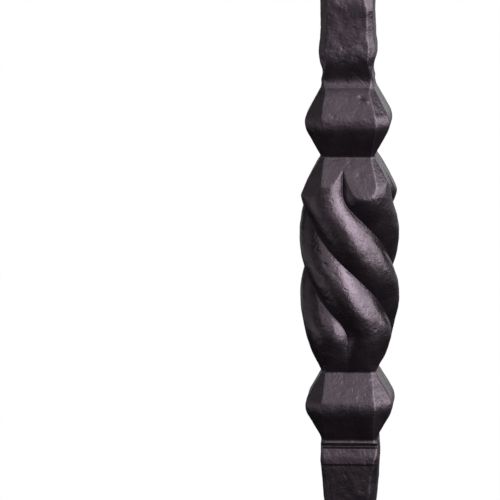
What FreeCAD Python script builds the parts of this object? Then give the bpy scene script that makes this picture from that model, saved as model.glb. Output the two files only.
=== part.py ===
import FreeCAD, Part
import Sketcher
import math
import os

# Iron stair baluster, 44 inch stock: hammered square bar, thickened twice into a knot.
# Each knot is a knuckle, a barrel of four strands twisted a little over half a turn, and a second knuckle.
# Upright, +Z up, origin at the centre of the foot. Millimetres.
# Every stretch is the common of four outlines: two across the flats and two across the corners,
# the way a smith works a square bar on its faces and then on its edges.

doc = FreeCAD.newDocument("baluster")
sheet = doc.addObject("Spreadsheet::Sheet", "Sizes")

SIZES = [
    ("baluster_length", 1117.6, "foot to top end"),
    ("lower_knot_height", 391.0, "foot to the middle of the lower knot"),
    ("upper_knot_height", 789.0, "foot to the middle of the upper knot"),
    ("bar_across", 12.7, "bar stock, across the flats before hammering"),
    ("bar_corner_ratio", 1.26, "across the hammered corners over across the flats"),
    ("corner_blow_ratio", 1.55, "depth of a blow on a corner over one on a flat"),
    ("blow_stagger", 2.4, "how far the blows on the next side fall lower"),
    ("trumpet_ratio", 0.5, "hollow of the run beside a knot over that of a blow"),
    ("lower_blow_depth", 4.0, "mean depth of the blows on the lower bar, both sides"),
    ("middle_blow_depth", 2.2, "the same on the middle bar"),
    ("upper_blow_depth", 2.8, "the same on the upper bar"),
    ("shoulder_across", 19.5, "swell of the bar beside a knot"),
    ("lower_shoulder_reach", 15.0, "knot end to the swell below the lower knot"),
    ("middle_shoulder_reach", 10.0, "knot end to the swell above the lower knot"),
    ("upper_shoulder_reach", 10.8, "knot end to the swell above the upper knot"),
    ("shoulder_dip", 0.9, "hollow between a swell and its knot, both sides"),
    ("collar_across", 19.5, "collar under the upper knot"),
    ("collar_height", 6.6, "height of that collar's band"),
    ("collar_crown", 0.35, "roundness of that band, each side"),
    ("seam_depth", 1.0, "seam above the collar, each side"),
    ("seam_height", 2.1, "height of the seam's slope"),
    ("neck_across", 18.0, "necks at both ends of knuckle and barrel"),
    ("neck_corners", 23.8, "the same across the corners"),
    ("neck_stub", 0.9, "plain neck at each end of a knot"),
    ("knuckle_across", 29.3, "belly of a knuckle"),
    ("knuckle_corners", 33.7, "the same across the corners"),
    ("knuckle_height", 23.2, "neck to neck over a knuckle"),
    ("belly_band", 7.2, "height of the rounded belly"),
    ("belly_crown", 1.4, "rise of that round, each side"),
    ("barrel_length", 73.3, "neck to neck over the barrel"),
    ("barrel_across", 33.7, "over two strands in the twist"),
    ("barrel_end_across", 35.0, "over two strands where they leave the upper flats"),
    ("barrel_foot_across", 30.0, "over two strands where they end in the bowl"),
    ("strand_radius", 8.7, "round of each strand"),
    ("barrel_lead", 13.6, "straight run of the strands at each end"),
    ("barrel_turn", 187.0, "whole twist in degrees, falling to the right"),
    ("flat_across", 32.0, "barrel's upper flats at their lower edge"),
    ("flat_corners", 36.8, "the same across the corners"),
    ("flat_height", 13.4, "height of those flats"),
    ("flat_crown", 0.4, "roundness of those flats"),
    ("foot_across", 24.0, "barrel's lower flats at their upper edge"),
    ("foot_corners", 29.0, "the same across the corners"),
    ("foot_height", 5.3, "height of those flats"),
    ("bowl_height", 28.6, "lower neck to where the barrel is full"),
    ("bowl_crown", 0.9, "roundness from the lower flats to the full barrel"),
    ("clearance", 0.3, "room of the outline outside the strands"),
]
for row, (alias, value, note) in enumerate(SIZES, 1):
    sheet.set(f"A{row}", note)
    sheet.set(f"B{row}", str(value))
    sheet.setAlias(f"B{row}", alias)
doc.recompute()

# Crests left between the blows: share of the bar's length from its lower end, share of bar_across.
LOWER_CRESTS = [(0.0, 0.96), (0.12, 1.17), (0.26, 1.15), (0.37, 1.14), (0.515, 1.25), (0.63, 1.36),
                (0.735, 1.42), (0.845, 1.48)]
MIDDLE_CRESTS = [(0.232, 1.19), (0.323, 1.14), (0.405, 0.91), (0.504, 0.87), (0.602, 0.86),
                 (0.775, 0.95)]
UPPER_CRESTS = [(0.11, 1.42), (0.2, 1.29), (0.301, 1.20), (0.411, 1.07), (0.504, 0.88), (0.597, 0.94),
                (0.725, 0.83), (0.822, 0.91), (1.0, 0.95)]

KNOT = "(2 * Sizes.neck_stub + 2 * Sizes.knuckle_height + Sizes.barrel_length)"
LOWER_LENGTH = f"(Sizes.lower_knot_height - {KNOT} / 2)"
MIDDLE_FOOT = f"(Sizes.lower_knot_height + {KNOT} / 2)"
MIDDLE_LENGTH = f"(Sizes.upper_knot_height - {KNOT} / 2 - {MIDDLE_FOOT})"
UPPER_FOOT = f"(Sizes.upper_knot_height + {KNOT} / 2)"
UPPER_LENGTH = f"(Sizes.baluster_length - {UPPER_FOOT})"


def number(text):
    return float(sheet.evalExpression(text))


def bound(sketch, constraint, text):
    index = sketch.addConstraint(constraint)
    sketch.setExpression(f"Constraints[{index}]", text)


def arc_between(low, high, sag, side):
    """Arc from low to high; a positive sag hollows the side, a negative one crowns it."""
    chord = high.sub(low)
    across = FreeCAD.Vector(-chord.y, chord.x, 0).normalize() * side
    radius = (chord.Length**2 / 4 + sag**2) / (2 * abs(sag))
    inward = 1 if sag > 0 else -1
    middle = (low + high) * 0.5
    centre = middle - across * inward * (radius - abs(sag))
    first, last = (high, low) if side * inward > 0 else (low, high)
    begin = math.atan2(first.y - centre.y, first.x - centre.x)
    end = math.atan2(last.y - centre.y, last.x - centre.x)
    circle = Part.Circle(centre, FreeCAD.Vector(0, 0, 1), radius)
    return Part.ArcOfCircle(circle, begin, end), first is low


def outline(name, turn, foot, stations):
    """Closed outline, alike on both sides of the axis, padded through the bar at the given turn.
    A station is its height, its half width and the hollow on the way up to it."""
    sketch = doc.addObject("Sketcher::SketchObject", f"{name}_outline_{turn}")
    upright = FreeCAD.Rotation(FreeCAD.Vector(0, 0, 1), turn).multiply(
        FreeCAD.Rotation(FreeCAD.Vector(1, 0, 0), 90))
    sketch.Placement = FreeCAD.Placement(FreeCAD.Vector(0, 0, 0), upright)
    sketch.setExpression("Placement.Base.z", foot)
    heights = [number(height) for height, half, hollow in stations]
    halves = [number(half) for height, half, hollow in stations]
    joints = {}
    for side in (1, -1):
        points = [FreeCAD.Vector(side * half, height, 0) for height, half in zip(heights, halves)]
        ends = []
        for index in range(1, len(points)):
            hollow = stations[index][2]
            low, high = points[index - 1], points[index]
            if hollow is None:
                geometry = sketch.addGeometry(Part.LineSegment(low, high))
                ends.append((geometry, 1, 2))
            else:
                arc, low_first = arc_between(low, high, number(hollow), side)
                geometry = sketch.addGeometry(arc)
                ends.append((geometry, 1, 2) if low_first else (geometry, 2, 1))
        joints[side] = ends
    right, left = joints[1], joints[-1]
    below = sketch.addGeometry(Part.LineSegment(
        FreeCAD.Vector(-halves[0], heights[0], 0), FreeCAD.Vector(halves[0], heights[0], 0)))
    above = sketch.addGeometry(Part.LineSegment(
        FreeCAD.Vector(halves[-1], heights[-1], 0), FreeCAD.Vector(-halves[-1], heights[-1], 0)))
    rules = []
    for ends in (right, left):
        for first, second in zip(ends, ends[1:]):
            rules.append(Sketcher.Constraint("Coincident", first[0], first[2], second[0], second[1]))
    rules.append(Sketcher.Constraint("Coincident", left[0][0], left[0][1], below, 1))
    rules.append(Sketcher.Constraint("Coincident", right[0][0], right[0][1], below, 2))
    rules.append(Sketcher.Constraint("Coincident", right[-1][0], right[-1][2], above, 1))
    rules.append(Sketcher.Constraint("Coincident", left[-1][0], left[-1][2], above, 2))
    corners = [(ends[0], ends[1]) for ends in right] + [(right[-1][0], right[-1][2])]
    mirrored = [(ends[0], ends[1]) for ends in left] + [(left[-1][0], left[-1][2])]
    for one, other in zip(corners, mirrored):
        rules.append(Sketcher.Constraint("Symmetric", one[0], one[1], other[0], other[1], -2))
    for index in range(1, len(stations)):
        if stations[index][2] is not None:
            rules.append(Sketcher.Constraint("Equal", right[index - 1][0], left[index - 1][0]))
    sketch.addConstraint(rules)
    for index, (height, half, hollow) in enumerate(stations):
        geometry, end = corners[index]
        if index == 0:
            sketch.addConstraint(Sketcher.Constraint("PointOnObject", geometry, end, -1))
        else:
            bound(sketch, Sketcher.Constraint("DistanceY", geometry, end, heights[index]), height)
        bound(sketch, Sketcher.Constraint("DistanceX", geometry, end, halves[index]), half)
        if hollow is not None:
            low_height, low_half = stations[index - 1][0], stations[index - 1][1]
            sag = f"abs({hollow})"
            radius = (f"((({height}) - ({low_height}))^2 + (({half}) - ({low_half}))^2) / (8 * {sag})"
                      f" + {sag} / 2")
            bound(sketch, Sketcher.Constraint("Radius", right[index - 1][0], number(radius)), radius)
    pad = doc.addObject("Part::Extrusion", f"{name}_pad_{turn}")
    pad.Base = sketch
    pad.DirMode = "Normal"
    pad.Symmetric = True
    pad.Solid = True
    pad.setExpression("LengthFwd", "3 * Sizes.barrel_end_across")
    return pad


def stretch(name, foot, flats, corners):
    """One stretch of the baluster from its outline over the flats and over the corners."""
    shape = doc.addObject("Part::MultiCommon", name)
    shape.Shapes = [outline(name, turn, foot, flats(turn) if turn % 90 == 0 else corners(turn))
                    for turn in (0, 90, 45, 135)]
    return shape


def hammered(length, crests, depth, turn, neck_below=None, neck_above=None, collar=False):
    """Stations of a hammered bar: crests, with a hollow struck between each two."""
    corner = turn % 90 != 0
    ratio = "Sizes.bar_corner_ratio" if corner else "1"
    neck = "Sizes.neck_corners" if corner else "Sizes.neck_across"
    blow = f"{depth} * Sizes.corner_blow_ratio" if corner else depth
    drop = f"{turn / 90} * Sizes.blow_stagger"
    marks = []
    if neck_below:
        marks.append((neck_below, f"Sizes.shoulder_across * {ratio} / 2"))
    for share, width in crests:
        level = f"{share} * {length}" if share in (0.0, 1.0) else f"{share} * {length} - {drop}"
        marks.append((level, f"{width} * Sizes.bar_across * {ratio} / 2"))
    if neck_above:
        marks.append((f"{length} - {neck_above}", f"Sizes.shoulder_across * {ratio} / 2"))
    if collar:
        band = f"{length} - Sizes.seam_height - Sizes.collar_height"
        marks.append((band, f"Sizes.collar_across * {ratio} / 2"))
    stations = []
    if neck_below:
        stations.append(("0", f"{neck} / 2 - Sizes.shoulder_dip / 4", None))
    last = len(marks) - 1
    for index, (level, half) in enumerate(marks):
        if index > 0:
            beside = index == 1 and neck_below or index == last and (neck_above or collar)
            share = f"{len(marks)} * Sizes.trumpet_ratio" if beside else f"{len(marks)}"
            hollow = f"{blow} / 2 * ({level} - ({marks[index - 1][0]})) * {share} / {length}"
        elif neck_below:
            hollow = "Sizes.shoulder_dip / 2"
        else:
            hollow = None
        stations.append((level, half, hollow))
    if neck_above:
        stations.append((length, f"{neck} / 2 - Sizes.shoulder_dip / 4", "Sizes.shoulder_dip / 2"))
    if collar:
        rim = f"Sizes.collar_across * {ratio} / 2"
        stations.append((f"{length} - Sizes.seam_height", rim, "-Sizes.collar_crown"))
        stations.append((length, f"{neck} / 2 - Sizes.seam_depth", None))
    return stations


def knot_outline(turn):
    """Stations of a knot: knuckle, the barrel's flats and bowl, knuckle."""
    corner = turn % 90 != 0
    kind = "corners" if corner else "across"
    neck = f"Sizes.neck_{kind} / 2"
    edge = f"Sizes.knuckle_{kind} / 2 - Sizes.belly_crown"
    full = "Sizes.barrel_across / 2 + Sizes.clearance"
    stations = [("0", neck, None)]
    level = "Sizes.neck_stub"

    def knuckle(level, hollow=None):
        band = f"{level} + Sizes.knuckle_height / 2 - Sizes.belly_band / 2"
        stations.append((level, neck, hollow))
        stations.append((band, edge, None))
        stations.append((f"{band} + Sizes.belly_band", edge, "-Sizes.belly_crown"))
        stations.append((f"{level} + Sizes.knuckle_height", neck, None))
        return f"{level} + Sizes.knuckle_height"

    level = knuckle(level)
    stations.append((f"{level} + Sizes.foot_height", f"Sizes.foot_{kind} / 2", None))
    stations.append((f"{level} + Sizes.bowl_height", full, "-Sizes.bowl_crown"))
    level = f"{level} + Sizes.barrel_length"
    flat = f"Sizes.flat_{kind} / 2"
    stations.append((f"{level} - 1.5 * Sizes.flat_height", f"max({full}; {flat})", None))
    stations.append((f"{level} - Sizes.flat_height", flat, None))
    level = knuckle(level, "-Sizes.flat_crown")
    stations.append((f"{level} + Sizes.neck_stub", neck, None))
    return stations


def strand_section(name, level, turn, across):
    """Four strands side by side, cut across the barrel."""
    sketch = doc.addObject("Sketcher::SketchObject", name)
    sketch.setExpression("Placement.Base.z", level)
    sketch.setExpression("Placement.Rotation.Angle", turn)
    offset = f"({across} / 2 - Sizes.strand_radius) * sqrt(0.5)"
    radius = number("Sizes.strand_radius")
    middle = number(offset)
    valley = math.degrees(math.asin(middle / radius))
    arcs = []
    for quarter in range(4):
        aim = 45 + 90 * quarter
        sides = ((1, 1), (-1, 1), (-1, -1), (1, -1))[quarter]
        centre = FreeCAD.Vector(sides[0] * middle, sides[1] * middle, 0)
        circle = Part.Circle(centre, FreeCAD.Vector(0, 0, 1), radius)
        begin = math.radians(aim - 45 - valley)
        end = math.radians(aim + 45 + valley)
        arcs.append(sketch.addGeometry(Part.ArcOfCircle(circle, begin, end)))
    rules = [Sketcher.Constraint("Coincident", arcs[q], 2, arcs[(q + 1) % 4], 1) for q in range(4)]
    rules += [Sketcher.Constraint("Equal", arcs[0], arcs[q]) for q in (1, 2, 3)]
    rules.append(Sketcher.Constraint("Symmetric", arcs[0], 3, arcs[1], 3, -2))
    rules.append(Sketcher.Constraint("Symmetric", arcs[0], 3, arcs[3], 3, -1))
    rules.append(Sketcher.Constraint("Symmetric", arcs[1], 3, arcs[2], 3, -1))
    sketch.addConstraint(rules)
    bound(sketch, Sketcher.Constraint("Radius", arcs[0], radius), "Sizes.strand_radius")
    bound(sketch, Sketcher.Constraint("DistanceX", arcs[0], 3, middle), offset)
    bound(sketch, Sketcher.Constraint("DistanceY", arcs[0], 3, middle), offset)
    return sketch


def twist_share(run):
    """Share of the twist reached at a share of the run, eased in and out at its ends."""
    ease = 0.15
    speed = 1 / (1 - ease)
    if run < ease:
        return speed * run**2 / (2 * ease)
    if run > 1 - ease:
        return 1 - speed * (1 - run)**2 / (2 * ease)
    return speed * (run - ease / 2)


def knot(name, foot):
    """A knot: its outline, with the room around the twisted strands cut away."""
    body = stretch(f"{name}_body", foot, knot_outline, knot_outline)
    barrel_foot = f"{foot} + Sizes.neck_stub + Sizes.knuckle_height"
    run = "(Sizes.barrel_length - 2 * Sizes.barrel_lead)"
    steps = 8
    bowl = "(Sizes.barrel_foot_across + 2 * Sizes.barrel_across) / 3"
    sections = [strand_section(f"{name}_strands_foot", barrel_foot, "0", "Sizes.barrel_foot_across")]
    sections.append(strand_section(f"{name}_strands_foot_lead", f"{barrel_foot} + Sizes.barrel_lead / 2",
                                   "0", bowl))
    for step in range(steps + 1):
        share = step / steps
        level = f"{barrel_foot} + Sizes.barrel_lead + {share} * {run}"
        turn = f"-{twist_share(share)} * Sizes.barrel_turn"
        sections.append(strand_section(f"{name}_strands_{step}", level, turn, "Sizes.barrel_across"))
    sections.append(strand_section(
        f"{name}_strands_top_lead", f"{barrel_foot} + Sizes.barrel_length - Sizes.barrel_lead / 2",
        "-Sizes.barrel_turn", "Sizes.barrel_end_across"))
    sections.append(strand_section(f"{name}_strands_top", f"{barrel_foot} + Sizes.barrel_length",
                                   "-Sizes.barrel_turn", "Sizes.barrel_end_across"))
    strands = doc.addObject("Part::Loft", f"{name}_strands")
    strands.Sections = sections
    strands.Solid = True
    strands.Ruled = False
    room = doc.addObject("Part::Cylinder", f"{name}_room")
    room.setExpression("Radius", "Sizes.barrel_end_across")
    room.setExpression("Height", "Sizes.barrel_length")
    room.setExpression("Placement.Base.z", barrel_foot)
    sleeve = doc.addObject("Part::Cut", f"{name}_sleeve")
    sleeve.Base = room
    sleeve.Tool = strands
    shape = doc.addObject("Part::Cut", name)
    shape.Base = body
    shape.Tool = sleeve
    return shape


def lower_bar(turn):
    return hammered(LOWER_LENGTH, LOWER_CRESTS, "Sizes.lower_blow_depth", turn,
                    neck_above="Sizes.lower_shoulder_reach")


def middle_bar(turn):
    return hammered(MIDDLE_LENGTH, MIDDLE_CRESTS, "Sizes.middle_blow_depth", turn,
                    neck_below="Sizes.middle_shoulder_reach", collar=True)


def upper_bar(turn):
    return hammered(UPPER_LENGTH, UPPER_CRESTS, "Sizes.upper_blow_depth", turn,
                    neck_below="Sizes.upper_shoulder_reach")


pieces = [
    stretch("lower_bar", "0", lower_bar, lower_bar),
    knot("lower_knot", LOWER_LENGTH),
    stretch("middle_bar", MIDDLE_FOOT, middle_bar, middle_bar),
    knot("upper_knot", f"{MIDDLE_FOOT} + {MIDDLE_LENGTH}"),
    stretch("upper_bar", UPPER_FOOT, upper_bar, upper_bar),
]
baluster = doc.addObject("Part::MultiFuse", "whole")
baluster.Label = "baluster"
baluster.Shapes = pieces
doc.recompute()

for item in doc.Objects:
    if "Invalid" in item.State or "Error" in item.State:
        raise RuntimeError(f"{item.Label} did not build: {item.State}")
shape = baluster.Shape
if shape.isNull() or not shape.isValid() or len(shape.Solids) != 1:
    raise RuntimeError(f"{baluster.Label} is not one sound solid")

os.makedirs("parts", exist_ok=True)
shape.exportStep(f"parts/{baluster.Label}.step")
print(baluster.Label, len(shape.Faces), "faces", round(shape.Volume / 1000, 2), "cm3", shape.BoundBox)
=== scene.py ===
"""Iron stair baluster in satin black: hammered square bar with two twisted knots."""

import math

import bmesh
import bpy
import numpy as np
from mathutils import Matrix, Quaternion, Vector, noise


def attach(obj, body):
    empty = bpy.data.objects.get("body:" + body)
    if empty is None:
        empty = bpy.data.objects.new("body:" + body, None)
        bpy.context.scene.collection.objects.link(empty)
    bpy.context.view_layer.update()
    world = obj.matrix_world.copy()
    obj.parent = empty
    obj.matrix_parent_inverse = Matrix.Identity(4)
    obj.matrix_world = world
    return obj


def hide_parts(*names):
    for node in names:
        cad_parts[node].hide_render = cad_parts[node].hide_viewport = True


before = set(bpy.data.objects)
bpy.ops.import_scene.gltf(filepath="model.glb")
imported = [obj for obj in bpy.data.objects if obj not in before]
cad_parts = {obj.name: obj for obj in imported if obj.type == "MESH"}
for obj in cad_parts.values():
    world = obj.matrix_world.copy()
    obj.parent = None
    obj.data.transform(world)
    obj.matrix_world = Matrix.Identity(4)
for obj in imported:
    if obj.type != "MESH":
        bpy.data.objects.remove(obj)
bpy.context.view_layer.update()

MM = 0.001

# Bars, in millimetres; sizes here and below are close to the solid's.
LENGTH = 1117.6
BAR = 12.7
BAR_CORNER_RATIO = 1.26
CORNER_BLOW_RATIO = 1.55
BLOW_STAGGER = 2.4
LOWER_BLOW = 4.0
MIDDLE_BLOW = 2.2
UPPER_BLOW = 2.8
TRUMPET = 0.5
SHOULDER = 19.5
LOWER_REACH = 15.0
MIDDLE_REACH = 10.0
UPPER_REACH = 10.8
SHOULDER_DIP = 0.9
# Crests left between the hammer blows: share of the bar's length, share of the bar stock.
LOWER_CRESTS = [(0.0, 0.96), (0.12, 1.17), (0.26, 1.15), (0.37, 1.14), (0.515, 1.25), (0.63, 1.36),
                (0.735, 1.42), (0.845, 1.48)]
MIDDLE_CRESTS = [(0.232, 1.19), (0.323, 1.14), (0.405, 0.91), (0.504, 0.87), (0.602, 0.86),
                 (0.775, 0.95)]
UPPER_CRESTS = [(0.11, 1.42), (0.2, 1.29), (0.301, 1.20), (0.411, 1.07), (0.504, 0.88), (0.597, 0.94),
                (0.725, 0.83), (0.822, 0.91), (1.0, 0.95)]

# Collar under the upper knot, with the seam and the lip above it.
COLLAR = 19.5
COLLAR_HEIGHT = 6.6
COLLAR_CROWN = 0.35
SEAM_DEPTH = 1.4
SEAM_HEIGHT = 2.1
LIP_HEIGHT = 0.65

# Knots; a pair is the width across the flats and across the corners.
LOWER_KNOT = 391.0
UPPER_KNOT = 789.0
NECK = (18.0, 23.8)
NECK_STUB = 0.9
KNUCKLE = (29.3, 33.7)
KNUCKLE_HEIGHT = 23.2
BELLY_BAND = 7.2
BELLY_CROWN = 1.04
BARREL_LENGTH = 73.3
BARREL = 33.7
FLAT = (32.0, 36.8)
FLAT_HEIGHT = 13.4
FLAT_RUNOUT = 1.5
FLAT_CROWN = 0.4
FOOT = (25.0, 30.0)
FOOT_HEIGHT = 5.3
BOWL_HEIGHT = 28.6
BOWL_CROWN = 2.2
CLEARANCE = 0.3

# Strands of the barrel.
BARREL_LEAD = 11.0
BARREL_TURN = 187.0
TWIST_EASE = 0.15
# Round of each strand: distance from the barrel's upper or lower end, radius.
UPPER_ROUND = [(0.0, 8.2), (6.0, 8.3), (14.0, 9.1), (24.0, 10.0)]
LOWER_ROUND = [(0.0, 8.2), (5.3, 8.9), (9.0, 8.8), (12.0, 8.8), (17.0, 9.3), (25.0, 10.0)]
# Spread over two strands: distance from the barrel's upper or lower end, spread.
UPPER_SPREAD = [(0.0, 34.5), (7.0, 34.8), (9.3, 35.2), (12.5, 36.1), (16.0, 35.2), (22.0, 33.7),
                (32.0, 33.5), (36.0, 33.8)]
LOWER_SPREAD = [(0.0, 24.4), (5.3, 28.0), (8.5, 30.8), (11.5, 33.0), (14.5, 33.8),
                (19.0, 33.6), (25.0, 33.4), (31.0, 33.9)]
SPREAD_BLUR = 0.9

# Heights where the bars meet the knots.
KNOT_LENGTH = 2 * NECK_STUB + 2 * KNUCKLE_HEIGHT + BARREL_LENGTH
LOWER_TOP = LOWER_KNOT - KNOT_LENGTH / 2
MIDDLE_FOOT = LOWER_KNOT + KNOT_LENGTH / 2
MIDDLE_TOP = UPPER_KNOT - KNOT_LENGTH / 2
UPPER_FOOT = UPPER_KNOT + KNOT_LENGTH / 2

# Finish of the outlines; they face the sides, the front and back, and the two pairs of corners.
TURNS = (0, 90, 45, 135)
OUTLINE_STEP = 0.1
EDGE_BLUR = 0.32
CREST_BLUR = 1.1
ARRIS_ROUND = 0.12
CHISEL_EDGE = 0.12
LEAST_SLANT = 0.12
NO_STRAND = 99.0
# Blend of the strands into the bowl: height above the barrel's foot, rounding.
BLEND = [(0.0, ARRIS_ROUND), (2.5, 0.6), (10.0, 0.6), (16.0, ARRIS_ROUND)]
# Where the softer crests of the bars fade out towards the knots: height, share.
BAR_FADE = [
    (LOWER_TOP - 8.0, 1.0),
    (LOWER_TOP - 3.0, 0.0),
    (MIDDLE_FOOT + 2.0, 0.0),
    (MIDDLE_FOOT + 6.0, 1.0),
    (MIDDLE_TOP - 18.0, 1.0),
    (MIDDLE_TOP - 10.0, 0.0),
    (UPPER_FOOT + 4.0, 0.0),
    (UPPER_FOOT + 8.0, 1.0),
]
# Worked places on the outlines: turn, height, reach, rise.
WORKED = [
    (90, UPPER_FOOT + 1.4, 3.0, -1.2),
    (90, UPPER_FOOT + 8.3, 2.6, 0.5),
    (90, UPPER_FOOT - 0.7, 0.35, -0.14),
    (45, UPPER_FOOT - 0.9, 4.0, -0.65),
    (135, UPPER_FOOT - 0.9, 4.0, -0.75),
    (45, UPPER_FOOT - 13.5, 8.0, -0.55),
    (135, UPPER_FOOT - 13.5, 8.0, 0.65),
    (45, UPPER_FOOT - 36.0, 7.0, -0.65),
    (135, UPPER_FOOT - 36.0, 7.0, 0.65),
    (90, MIDDLE_TOP - SEAM_HEIGHT, 3.6, -1.0),
    (90, MIDDLE_TOP - LIP_HEIGHT, 0.8, 0.6),
    (0, MIDDLE_TOP, 2.0, 0.7),
    (45, MIDDLE_TOP - 4.0, 4.0, 0.4),
    (135, MIDDLE_TOP - 4.0, 4.0, 0.5),
    (0, UPPER_FOOT + 5.0, 2.2, -0.45),
    (0, UPPER_FOOT + 1.9, 0.9, 0.2),
    (0, UPPER_FOOT - 12.5, 14.0, -0.4),
    (0, MIDDLE_TOP - 4.0, 6.0, -0.4),
    (0, MIDDLE_TOP - 20.0, 8.0, 0.35),
]
# Chiselled steps: turn, upper edge, lower edge, ease below the upper edge, depth.
CHISELLED = [
    (90, MIDDLE_TOP - LIP_HEIGHT, MIDDLE_TOP - SEAM_HEIGHT, 40.0, SEAM_DEPTH),
    (90, MIDDLE_TOP - 7.7, MIDDLE_TOP - 40.0, 5.0, 0.45),
]
# Small marks on the upper knot: angle, height above its middle, reach, depth.
MARKS = [
    (-64.8, 56.9, 0.8, 0.45),
    (-60.5, 55.9, 0.8, -0.30),
    (-110.3, 51.6, 0.5, 0.18),
    (-106.4, 51.2, 0.6, 0.20),
    (-84.6, 34.9, 0.5, 0.10),
    (-70.5, 30.9, 1.0, 0.18),
    (-122.5, -4.8, 1.3, 0.18),
    (-117.9, 1.0, 0.6, 0.24),
    (-104.5, -2.2, 0.5, 0.25),
    (-115.0, -10.9, 0.6, 0.20),
    (4.3, 1.7, 1.2, 0.30),
]
# Unevenness left by hammer and mould: waves to a millimetre, height, and what the bars have more.
RELIEF = [(0.11, 0.14, 0.0), (0.33, 0.09, 0.10), (0.95, 0.03, 0.04)]
# Reach in metres within which the two edges of a wrapped grid are joined.
MERGE_REACH = 0.000001


def hammered(foot, length, crests, depth, turn, neck_below=None, neck_above=None, collar=False):
    """Stations of a hammered bar: height, half width, and the hollow on the way up to it."""
    corner = turn % 90 != 0
    ratio = BAR_CORNER_RATIO if corner else 1.0
    neck = NECK[corner] / 2
    blow = depth * CORNER_BLOW_RATIO if corner else depth
    drop = turn / 90 * BLOW_STAGGER
    marks = []
    if neck_below:
        marks.append((neck_below, SHOULDER * ratio / 2))
    for share, width in crests:
        level = share * length if share in (0.0, 1.0) else share * length - drop
        marks.append((level, width * BAR * ratio / 2))
    if neck_above:
        marks.append((length - neck_above, SHOULDER * ratio / 2))
    if collar:
        marks.append((length - SEAM_HEIGHT - COLLAR_HEIGHT, COLLAR * ratio / 2))
    stations = []
    if neck_below:
        stations.append((foot, neck - SHOULDER_DIP / 4, 0.0))
    last = len(marks) - 1
    for index, (level, half) in enumerate(marks):
        hollow = SHOULDER_DIP / 2 if neck_below else 0.0
        if index > 0:
            beside = index == 1 and neck_below or index == last and (neck_above or collar)
            share = len(marks) * (TRUMPET if beside else 1.0)
            hollow = blow / 2 * (level - marks[index - 1][0]) * share / length
        stations.append((foot + level, half, hollow))
    if neck_above:
        stations.append((foot + length, neck - SHOULDER_DIP / 4, SHOULDER_DIP / 2))
    if collar:
        top = foot + length
        stations.append((top - SEAM_HEIGHT, COLLAR * ratio / 2, -COLLAR_CROWN))
        stations.append((top, neck, 0.0))
    return stations


def knot_stations(foot, turn):
    """Stations of a knot: knuckle, the barrel's flats and bowl, knuckle."""
    corner = turn % 90 != 0
    neck = NECK[corner] / 2
    edge = KNUCKLE[corner] / 2 - BELLY_CROWN
    full = BARREL / 2 + CLEARANCE
    flat = FLAT[corner] / 2
    stations = [(foot, neck, 0.0)]

    def knuckle(level, hollow):
        band = level + KNUCKLE_HEIGHT / 2 - BELLY_BAND / 2
        stations.append((level, neck, hollow))
        stations.append((band, edge, 0.0))
        stations.append((band + BELLY_BAND, edge, -BELLY_CROWN))
        stations.append((level + KNUCKLE_HEIGHT, neck, 0.0))
        return level + KNUCKLE_HEIGHT

    level = knuckle(foot + NECK_STUB, 0.0)
    stations.append((level + FOOT_HEIGHT, FOOT[corner] / 2, 0.0))
    stations.append((level + BOWL_HEIGHT, full, -BOWL_CROWN))
    level += BARREL_LENGTH
    stations.append((level - FLAT_RUNOUT * FLAT_HEIGHT, max(full, flat), 0.0))
    stations.append((level - FLAT_HEIGHT, flat, 0.0))
    level = knuckle(level, -FLAT_CROWN)
    stations.append((level + NECK_STUB, neck, 0.0))
    return stations


def half_widths(stations, heights):
    """Half width at each height, straight or bowed between the stations."""
    marks = np.array([station[0] for station in stations])
    halves = np.array([station[1] for station in stations])
    hollows = np.array([station[2] for station in stations])
    index = np.clip(np.searchsorted(marks, heights, side="right"), 1, len(marks) - 1)
    rise = marks[index] - marks[index - 1]
    along = np.clip((heights - marks[index - 1]) / rise, 0.0, 1.0)
    chord = halves[index - 1] + (halves[index] - halves[index - 1]) * along
    return chord - 4 * hollows[index] * along * (1 - along)


def whole_outline(turn, heights):
    """Half width of the whole baluster at one turn, foot to top."""
    lower = hammered(0.0, LOWER_TOP, LOWER_CRESTS, LOWER_BLOW, turn, neck_above=LOWER_REACH)
    middle = hammered(MIDDLE_FOOT, MIDDLE_TOP - MIDDLE_FOOT, MIDDLE_CRESTS, MIDDLE_BLOW, turn,
                      neck_below=MIDDLE_REACH, collar=True)
    upper = hammered(UPPER_FOOT, LENGTH - UPPER_FOOT, UPPER_CRESTS, UPPER_BLOW, turn,
                     neck_below=UPPER_REACH)
    stretches = [(0.0, lower), (LOWER_TOP, knot_stations(LOWER_TOP, turn)), (MIDDLE_FOOT, middle),
                 (MIDDLE_TOP, knot_stations(MIDDLE_TOP, turn)), (UPPER_FOOT, upper)]
    values = np.zeros_like(heights)
    for foot, stations in stretches:
        here = heights >= foot
        values[here] = half_widths(stations, heights[here])
    return values


def worked(turn, heights):
    """Sum of the worked and chiselled places on one outline."""
    total = np.zeros_like(heights)
    for side, height, reach, rise in WORKED:
        if side == turn:
            total += rise * np.exp(-(((heights - height) / reach) ** 2))
    for side, upper, lower, ease, depth in CHISELLED:
        if side == turn:
            below = 0.5 - 0.5 * np.tanh((heights - upper) / CHISEL_EDGE)
            above = 0.5 + 0.5 * np.tanh((heights - lower) / CHISEL_EDGE)
            total -= depth * below * above * np.exp(-np.maximum(upper - heights, 0.0) / ease)
    return total


def rounded(values, step, blur):
    """Rounds an outline's corners with a bell-shaped mean."""
    reach = int(4 * blur / step)
    bell = np.exp(-0.5 * (np.arange(-reach, reach + 1) * step / blur) ** 2)
    padded = np.pad(values, reach, mode="edge")
    return np.convolve(padded, bell / bell.sum(), mode="valid")


def bar_share(heights):
    """How far a height lies on a hammered bar, 0 on the knots and their necks to 1."""
    return np.interp(heights, *zip(*BAR_FADE))


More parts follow.
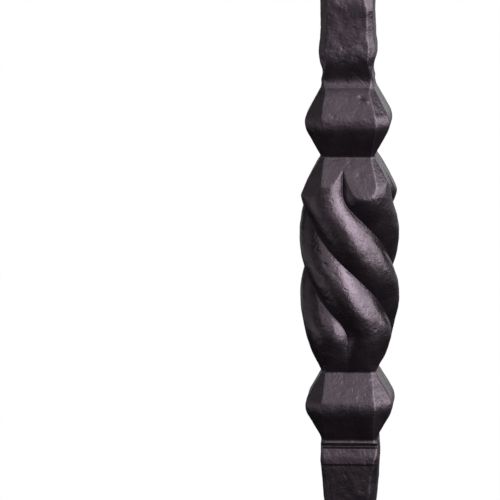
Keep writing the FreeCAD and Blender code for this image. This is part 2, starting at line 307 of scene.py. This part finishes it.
def finished_outline(turn, heights):
    """Half width with rounded corners, rounder on the bars, and the worked places."""
    plain = whole_outline(turn, heights)
    crisp = rounded(plain, OUTLINE_STEP, EDGE_BLUR)
    soft = rounded(plain, OUTLINE_STEP, CREST_BLUR)
    return crisp + (soft - crisp) * bar_share(heights) + worked(turn, heights)


GRID = np.arange(0.0, LENGTH + OUTLINE_STEP, OUTLINE_STEP)
OUTLINES = {turn: finished_outline(turn, GRID) for turn in TURNS}


def along_barrel(place, lower, upper):
    """Value at a height above the barrel's foot, from its stations near both ends."""
    below = np.interp(place, *zip(*lower))
    above = np.interp(BARREL_LENGTH - place, *zip(*upper))
    return np.where(place < BARREL_LENGTH / 2, below, above)


BARREL_GRID = np.arange(0.0, BARREL_LENGTH + OUTLINE_STEP, OUTLINE_STEP)
SPREAD = rounded(along_barrel(BARREL_GRID, LOWER_SPREAD, UPPER_SPREAD), OUTLINE_STEP, SPREAD_BLUR)
ROUND = rounded(along_barrel(BARREL_GRID, LOWER_ROUND, UPPER_ROUND), OUTLINE_STEP, SPREAD_BLUR)


def twist_share(run):
    """Share of the twist reached at a share of the run, eased at both ends."""
    speed = 1 / (1 - TWIST_EASE)
    run = np.clip(run, 0.0, 1.0)
    early = speed * run**2 / (2 * TWIST_EASE)
    late = 1 - speed * (1 - run) ** 2 / (2 * TWIST_EASE)
    even = speed * (run - TWIST_EASE / 2)
    return np.where(run < TWIST_EASE, early, np.where(run > 1 - TWIST_EASE, late, even))


def barrel_place(heights):
    """Height above the foot of the barrel of the nearer knot."""
    middle = np.where(heights < (LOWER_KNOT + UPPER_KNOT) / 2, LOWER_KNOT, UPPER_KNOT)
    return heights - (middle - BARREL_LENGTH / 2)


def twist_at(heights):
    """Turn of the strands in radians; it falls to the right on the way down."""
    run = (barrel_place(heights) - BARREL_LEAD) / (BARREL_LENGTH - 2 * BARREL_LEAD)
    return -math.radians(BARREL_TURN) * twist_share(run)


def section(heights, angles):
    """Distance of the skin from the axis, nearness to an arris, and share of the strands."""
    walls = []
    for turn in TURNS:
        half = np.interp(heights, GRID, OUTLINES[turn])[:, None]
        slant = np.abs(np.cos(angles - math.radians(turn)))
        walls.append(half / np.maximum(slant, LEAST_SLANT))
    place = barrel_place(heights)
    inside = (place > 0) & (place < BARREL_LENGTH)
    radius = np.interp(place, BARREL_GRID, ROUND)[:, None]
    offset = np.interp(place, BARREL_GRID, SPREAD)[:, None] / 2 - radius
    quarter = math.pi / 2
    lean = (angles - twist_at(heights)[:, None]) % quarter - quarter / 2
    strand = offset * np.cos(lean) + np.sqrt(radius**2 - (offset * np.sin(lean)) ** 2)
    walls.append(np.where(inside[:, None], strand, NO_STRAND))
    stack = np.stack(walls)
    least = stack.min(axis=0)
    blend = np.interp(place, *zip(*BLEND))[:, None]
    weights = np.exp(-(stack - least) / blend)
    total = weights.sum(axis=0)
    arris = (1 - weights.max(axis=0) / total) * ARRIS_ROUND / blend
    return least - blend * np.log(total), arris, weights[-1] / total


def marked(radii, heights, angles):
    """Distance from the axis with the small dents and burrs worked in."""
    for angle, height, reach, depth in MARKS:
        across = np.sin((angles - math.radians(angle)) / 2) * 2 * radii
        facing = np.cos(angles - math.radians(angle)) > 0
        up = (heights - UPPER_KNOT - height)[:, None]
        radii = radii - depth * facing * np.exp(-(across**2 + up**2) / reach**2)
    return radii


def relief(point, hammer):
    """Unevenness at a point of the skin, in millimetres; more on the bars."""
    return sum((height + more * hammer) * noise.noise(point * waves) for waves, height, more in RELIEF)


def levels(low, high, pitch):
    """Heights of the rows of a stretch, evenly spaced at about the given pitch."""
    count = max(2, int(round((high - low) / pitch)) + 1)
    return np.linspace(low, high, count)


def skin(name, heights, columns):
    """One stretch of the baluster: a grid wrapped round the axis, one row to a level."""
    rings = len(heights)
    base = np.arange(columns + 1) * 2 * math.pi / columns
    angles = base[None, :] + twist_at(heights)[:, None]
    radii, arrises, strands = section(heights, angles)
    radii = marked(radii, heights, angles)
    hammer = bar_share(heights)
    bm = bmesh.new()
    arris_of = bm.verts.layers.float.new("arris")
    strand_of = bm.verts.layers.float.new("strand")
    bmesh.ops.create_grid(bm, x_segments=columns, y_segments=rings - 1, size=0.5)
    for vert in bm.verts:
        column = round((vert.co.x + 0.5) * columns)
        ring = round((vert.co.y + 0.5) * (rings - 1))
        angle = angles[ring, column]
        outward = Vector((math.cos(angle), math.sin(angle), 0.0))
        point = outward * radii[ring, column]
        point.z = heights[ring]
        vert.co = (point + outward * relief(point, hammer[ring])) * MM
        vert[arris_of] = arrises[ring, column]
        vert[strand_of] = strands[ring, column]
    bmesh.ops.remove_doubles(bm, verts=bm.verts, dist=MERGE_REACH)
    bmesh.ops.holes_fill(bm, edges=[edge for edge in bm.edges if edge.is_boundary], sides=0)
    bmesh.ops.recalc_face_normals(bm, faces=bm.faces)
    for face in bm.faces:
        face.smooth = len(face.verts) == 4
        if not face.smooth:
            for edge in face.edges:
                edge.smooth = False
    mesh = bpy.data.meshes.new(name)
    bm.to_mesh(mesh)
    bm.free()
    piece = bpy.data.objects.new(name, mesh)
    bpy.context.scene.collection.objects.link(piece)
    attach(piece, "root")
    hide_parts("baluster")
    return piece


# The upper knot is split at its necks, so that each mesh can be fine.
KNOT_END = NECK_STUB + KNUCKLE_HEIGHT
BELOW_COLLAR = 1.4
ABOVE_SHOULDER = 4.0
LOW_CUT = MIDDLE_TOP - SEAM_HEIGHT - COLLAR_HEIGHT - BELOW_COLLAR
LOW_NECK = MIDDLE_TOP + KNOT_END
HIGH_NECK = UPPER_FOOT - KNOT_END
HIGH_CUT = UPPER_FOOT + UPPER_REACH + ABOVE_SHOULDER
# Stretches of the skin: name, lower end, upper end, pitch of the rows, columns.
STRETCHES = [
    ("lower_bar", 0.0, LOWER_TOP, 0.75, 120),
    ("lower_knot", LOWER_TOP, MIDDLE_FOOT, 0.34, 240),
    ("middle_bar", MIDDLE_FOOT, LOW_CUT, 0.65, 160),
    ("upper_knot_foot", LOW_CUT, LOW_NECK, 0.22, 600),
    ("upper_barrel", LOW_NECK, HIGH_NECK, 0.31, 400),
    ("upper_knot_head", HIGH_NECK, HIGH_CUT, 0.25, 600),
    ("upper_bar", HIGH_CUT, LENGTH, 0.65, 160),
]
pieces = [skin(name, levels(low, high, pitch), columns) for name, low, high, pitch, columns in STRETCHES]

# Satin black coat: colours, roughness, and grain in waves to a metre.
COAT_DARK = (0.0028, 0.0020, 0.0027, 1.0)
COAT_PALE = (0.0070, 0.0049, 0.0066, 1.0)
COAT_WORN = (0.035, 0.030, 0.033, 1.0)
COAT_SHEEN = (1.0, 0.80, 0.96, 1.0)
SHEEN_LEVEL = 1.0
BLOTCH_RANGE = (0.25, 0.75)
SATIN_ROUGHNESS = (0.28, 0.42)
FLAT_ROUGHER = 0.05
ARRIS_ROUGHNESS = 0.42
ARRIS_FULL = 0.35
PEEL_WAVES = 900.0
PEEL_DETAIL = 4.0
PIT_WAVES = 420.0
PIT_DETAIL = 2.0
PIT_RANGE = (0.30, 0.42)
PIT_SHARE = 0.5
BLOTCH_WAVES = 160.0
BLOTCH_DETAIL = 5.0
GRAIN_STRENGTH = 0.5
GRAIN_DEPTH = 0.00023


def node(tree, kind, **values):
    """New node with the given settings."""
    made = tree.nodes.new(kind)
    for key, value in values.items():
        setattr(made, key, value)
    return made


def map_range(tree, source=(0.0, 1.0), result=(0.0, 1.0), **values):
    """Map Range node from one pair of values to another."""
    made = node(tree, "ShaderNodeMapRange", **values)
    made.inputs["From Min"].default_value, made.inputs["From Max"].default_value = source
    made.inputs["To Min"].default_value, made.inputs["To Max"].default_value = result
    return made


def noise_texture(tree, waves, detail):
    """Noise texture of a given fineness."""
    made = node(tree, "ShaderNodeTexNoise")
    made.inputs["Scale"].default_value = waves
    made.inputs["Detail"].default_value = detail
    return made


def fresh_tree(block):
    """Empty node tree of a new material or world."""
    block.use_nodes = True
    block.node_tree.nodes.clear()
    return block.node_tree


def coat_grain():
    """Orange peel, fine pits and blotches of the coat."""
    group = bpy.data.node_groups.new("coat_grain", "ShaderNodeTree")
    face = group.interface
    face.new_socket("Vector", in_out="INPUT", socket_type="NodeSocketVector")
    face.new_socket("Height", in_out="OUTPUT", socket_type="NodeSocketFloat")
    face.new_socket("Blotch", in_out="OUTPUT", socket_type="NodeSocketFloat")
    given = node(group, "NodeGroupInput")
    taken = node(group, "NodeGroupOutput")
    peel = noise_texture(group, PEEL_WAVES, PEEL_DETAIL)
    pits = noise_texture(group, PIT_WAVES, PIT_DETAIL)
    dips = map_range(group, source=PIT_RANGE)
    blotch = noise_texture(group, BLOTCH_WAVES, BLOTCH_DETAIL)
    both = node(group, "ShaderNodeMath", operation="MULTIPLY_ADD")
    both.inputs[1].default_value = PIT_SHARE
    link = group.links.new
    for texture in (peel, pits, blotch):
        link(given.outputs["Vector"], texture.inputs["Vector"])
    link(pits.outputs["Fac"], dips.inputs["Value"])
    link(dips.outputs["Result"], both.inputs[0])
    link(peel.outputs["Fac"], both.inputs[2])
    link(both.outputs["Value"], taken.inputs["Height"])
    link(blotch.outputs["Fac"], taken.inputs["Blotch"])
    return group


def black_iron():
    """Satin black coat over iron: blotched tone and gloss, paler and duller on the arrises."""
    material = bpy.data.materials.new("black_iron_coat")
    tree = fresh_tree(material)
    out = node(tree, "ShaderNodeOutputMaterial")
    shader = node(tree, "ShaderNodeBsdfPrincipled")
    shader.inputs["Specular IOR Level"].default_value = SHEEN_LEVEL
    shader.inputs["Specular Tint"].default_value = COAT_SHEEN
    place = node(tree, "ShaderNodeTexCoord")
    grain = node(tree, "ShaderNodeGroup")
    grain.node_tree = coat_grain()
    arris = node(tree, "ShaderNodeAttribute", attribute_name="arris")
    strand = node(tree, "ShaderNodeAttribute", attribute_name="strand")
    tone = node(tree, "ShaderNodeMix", data_type="RGBA")
    tone.inputs["A"].default_value = COAT_DARK
    tone.inputs["B"].default_value = COAT_PALE
    worn = node(tree, "ShaderNodeMix", data_type="RGBA")
    worn.inputs["B"].default_value = COAT_WORN
    wear = node(tree, "ShaderNodeMath", operation="MULTIPLY")
    gloss = map_range(tree, source=BLOTCH_RANGE, result=SATIN_ROUGHNESS)
    flat_rough = map_range(tree, result=(FLAT_ROUGHER, 0.0))
    edge_rough = map_range(tree, source=(0.0, ARRIS_FULL), result=(0.0, ARRIS_ROUGHNESS))
    rough = node(tree, "ShaderNodeMath", operation="ADD")
    dull = node(tree, "ShaderNodeMath", operation="MAXIMUM")
    bump = node(tree, "ShaderNodeBump")
    bump.inputs["Strength"].default_value = GRAIN_STRENGTH
    bump.inputs["Distance"].default_value = GRAIN_DEPTH
    link = tree.links.new
    link(place.outputs["Object"], grain.inputs["Vector"])
    link(grain.outputs["Blotch"], tone.inputs["Factor"])
    link(grain.outputs["Blotch"], gloss.inputs["Value"])
    link(grain.outputs["Height"], bump.inputs["Height"])
    link(arris.outputs["Fac"], wear.inputs[0])
    link(grain.outputs["Blotch"], wear.inputs[1])
    link(wear.outputs["Value"], worn.inputs["Factor"])
    link(tone.outputs["Result"], worn.inputs["A"])
    link(worn.outputs["Result"], shader.inputs["Base Color"])
    link(arris.outputs["Fac"], edge_rough.inputs["Value"])
    link(strand.outputs["Fac"], flat_rough.inputs["Value"])
    link(gloss.outputs["Result"], rough.inputs[0])
    link(flat_rough.outputs["Result"], rough.inputs[1])
    link(rough.outputs["Value"], dull.inputs[0])
    link(edge_rough.outputs["Result"], dull.inputs[1])
    link(dull.outputs["Value"], shader.inputs["Roughness"])
    link(bump.outputs["Normal"], shader.inputs["Normal"])
    link(shader.outputs["BSDF"], out.inputs["Surface"])
    return material


coat = black_iron()
for piece in pieces:
    piece.data.materials.append(coat)

# Stage: pale floor, white surround, soft lamps; distances in metres.
FLOOR_RADIUS = 40.0
FLOOR_SEGMENTS = 96
FLOOR_SEEN = 0.75
FLOOR_BOUNCE = 0.02
NEAR_FLOOR_WHITE = 0.55
WHITE_FADE = (1.6, 3.0)
FAR_FLOOR_GLOSS = 0.42
GLOSS_FADE = (2.4, 6.5)
SURROUND_DIM = (0.004, 0.004, 0.004, 1.0)
SURROUND_WHITE = (1.0, 1.0, 1.0, 1.0)
SURROUND_GLOSS = 0.008
SUN_DISTANCE = 4.0


def floor_material():
    """Pale floor that fades to white far off, and keeps the shadow near the object."""
    material = bpy.data.materials.new("pale_floor")
    tree = fresh_tree(material)
    out = node(tree, "ShaderNodeOutputMaterial")
    matte = node(tree, "ShaderNodeBsdfDiffuse")
    shade = map_range(tree, result=(FLOOR_BOUNCE, FLOOR_SEEN))
    white = node(tree, "ShaderNodeEmission")
    mix = node(tree, "ShaderNodeMixShader")
    place = node(tree, "ShaderNodeTexCoord")
    far = node(tree, "ShaderNodeVectorMath", operation="LENGTH")
    fade = map_range(tree, source=WHITE_FADE, interpolation_type="SMOOTHSTEP")
    mirrored = map_range(tree, source=GLOSS_FADE, result=(0.0, FAR_FLOOR_GLOSS),
                         interpolation_type="SMOOTHSTEP")
    path = node(tree, "ShaderNodeLightPath")
    seen = node(tree, "ShaderNodeMath", operation="MAXIMUM")
    distant = node(tree, "ShaderNodeMath", operation="MULTIPLY")
    gloss = node(tree, "ShaderNodeMath", operation="MULTIPLY")
    shown = node(tree, "ShaderNodeMath", operation="MAXIMUM")
    near = node(tree, "ShaderNodeMath", operation="MULTIPLY")
    near.inputs[1].default_value = NEAR_FLOOR_WHITE
    amount = node(tree, "ShaderNodeMath", operation="MAXIMUM")
    link = tree.links.new
    link(path.outputs["Is Camera Ray"], shade.inputs["Value"])
    link(shade.outputs["Result"], matte.inputs["Color"])
    link(place.outputs["Object"], far.inputs[0])
    link(far.outputs["Value"], fade.inputs["Value"])
    link(far.outputs["Value"], mirrored.inputs["Value"])
    link(path.outputs["Is Camera Ray"], seen.inputs[0])
    link(path.outputs["Is Transmission Ray"], seen.inputs[1])
    link(seen.outputs["Value"], distant.inputs[0])
    link(fade.outputs["Result"], distant.inputs[1])
    link(path.outputs["Is Glossy Ray"], gloss.inputs[0])
    link(mirrored.outputs["Result"], gloss.inputs[1])
    link(distant.outputs["Value"], shown.inputs[0])
    link(gloss.outputs["Value"], shown.inputs[1])
    link(path.outputs["Is Camera Ray"], near.inputs[0])
    link(shown.outputs["Value"], amount.inputs[0])
    link(near.outputs["Value"], amount.inputs[1])
    link(amount.outputs["Value"], mix.inputs["Fac"])
    link(matte.outputs["BSDF"], mix.inputs[1])
    link(white.outputs["Emission"], mix.inputs[2])
    link(mix.outputs["Shader"], out.inputs["Surface"])
    return material


def lay_floor():
    """Wide round floor under the foot."""
    bm = bmesh.new()
    bmesh.ops.create_circle(bm, cap_ends=True, segments=FLOOR_SEGMENTS, radius=FLOOR_RADIUS)
    mesh = bpy.data.meshes.new("floor")
    bm.to_mesh(mesh)
    bm.free()
    floor = bpy.data.objects.new("floor", mesh)
    bpy.context.scene.collection.objects.link(floor)
    mesh.materials.append(floor_material())


def surround():
    """White for the camera, dim for the light on the object."""
    world = bpy.data.worlds.new("surround")
    bpy.context.scene.world = world
    tree = fresh_tree(world)
    out = node(tree, "ShaderNodeOutputWorld")
    dim = node(tree, "ShaderNodeBackground")
    dim.inputs["Color"].default_value = SURROUND_DIM
    white = node(tree, "ShaderNodeBackground")
    white.inputs["Color"].default_value = SURROUND_WHITE
    mix = node(tree, "ShaderNodeMixShader")
    path = node(tree, "ShaderNodeLightPath")
    seen = node(tree, "ShaderNodeMath", operation="MAXIMUM")
    gloss = node(tree, "ShaderNodeMath", operation="MULTIPLY")
    gloss.inputs[1].default_value = SURROUND_GLOSS
    amount = node(tree, "ShaderNodeMath", operation="MAXIMUM")
    link = tree.links.new
    link(path.outputs["Is Camera Ray"], seen.inputs[0])
    link(path.outputs["Is Transmission Ray"], seen.inputs[1])
    link(path.outputs["Is Glossy Ray"], gloss.inputs[0])
    link(seen.outputs["Value"], amount.inputs[0])
    link(gloss.outputs["Value"], amount.inputs[1])
    link(amount.outputs["Value"], mix.inputs["Fac"])
    link(dim.outputs["Background"], mix.inputs[1])
    link(white.outputs["Background"], mix.inputs[2])
    link(mix.outputs["Shader"], out.inputs["Surface"])


def aim_from(azimuth, elevation):
    """Unit vector from the object towards a place at this azimuth and elevation."""
    turn = math.radians(azimuth)
    rise = math.radians(elevation)
    return Vector((math.sin(turn) * math.cos(rise), -math.cos(turn) * math.cos(rise), math.sin(rise)))


def hang(name, lamp, place, towards):
    """Hangs a lamp at a place, facing back along a direction."""
    holder = bpy.data.objects.new(name, lamp)
    bpy.context.scene.collection.objects.link(holder)
    holder.location = place
    holder.rotation_mode = "QUATERNION"
    holder.rotation_quaternion = (-towards).to_track_quat("-Z", "Y")
    return holder


def soft_sun(name, strength, spread, azimuth, elevation):
    """Broad lamp far off, spread over an angle."""
    lamp = bpy.data.lights.new(name, "SUN")
    lamp.energy = strength
    lamp.angle = math.radians(spread)
    towards = aim_from(azimuth, elevation)
    hang(name, lamp, towards * SUN_DISTANCE, towards)


def soft_panel(name, power, width, low, high, azimuth, distance):
    """Upright panel lamp from one height to another, facing the axis."""
    lamp = bpy.data.lights.new(name, "AREA")
    lamp.shape = "RECTANGLE"
    lamp.size = width
    lamp.size_y = high - low
    lamp.energy = power
    towards = aim_from(azimuth, 0.0)
    place = towards * distance + Vector((0.0, 0.0, (low + high) / 2))
    hang(name, lamp, place, towards).visible_camera = False


lay_floor()
surround()
soft_panel("key", power=40.0, width=1.3, low=0.55, high=2.5, azimuth=41.0, distance=1.8)
soft_panel("side_key", power=15.5, width=1.4, low=0.86, high=1.75, azimuth=87.0, distance=1.8)
soft_panel("low_left_fill", power=0.65, width=0.8, low=0.2, high=0.79, azimuth=-70.0, distance=1.0)
soft_sun("high_key", strength=1.3, spread=40.0, azimuth=56.0, elevation=38.0)
soft_sun("front_fill", strength=0.84, spread=62.0, azimuth=-8.0, elevation=46.0)
soft_sun("left_fill", strength=0.16, spread=50.0, azimuth=-90.0, elevation=6.0)
soft_sun("back_rim", strength=0.35, spread=36.0, azimuth=168.0, elevation=10.0)
soft_sun("back_fill", strength=0.9, spread=50.0, azimuth=-156.0, elevation=46.0)

# Camera: close on the upper knot, the baluster right of the middle; metres and degrees.
CAMERA_AZIMUTH = 4.5
CAMERA_ELEVATION = 10.1
CAMERA_DISTANCE = 1.65
CAMERA_ROLL = -0.53
FRAME_WIDTH = 0.1685
TARGET_HEIGHT = 0.7929
TARGET_LEFT = 0.0335
SENSOR_WIDTH = 36.0
FARTHEST_SEEN = 200.0

view = bpy.data.cameras.new("camera")
view.sensor_width = SENSOR_WIDTH
view.lens = SENSOR_WIDTH * CAMERA_DISTANCE / FRAME_WIDTH
view.clip_end = FARTHEST_SEEN
camera = bpy.data.objects.new("camera", view)
bpy.context.scene.collection.objects.link(camera)
bpy.context.scene.camera = camera
back = aim_from(CAMERA_AZIMUTH, CAMERA_ELEVATION)
right = aim_from(CAMERA_AZIMUTH + 90.0, 0.0)
target = Vector((0.0, 0.0, TARGET_HEIGHT)) - right * TARGET_LEFT
camera.location = target + back * CAMERA_DISTANCE
camera.rotation_mode = "QUATERNION"
upright = (-back).to_track_quat("-Z", "Y")
camera.rotation_quaternion = upright @ Quaternion((0.0, 0.0, 1.0), math.radians(CAMERA_ROLL))

bpy.context.scene.view_settings.view_transform = "Standard"
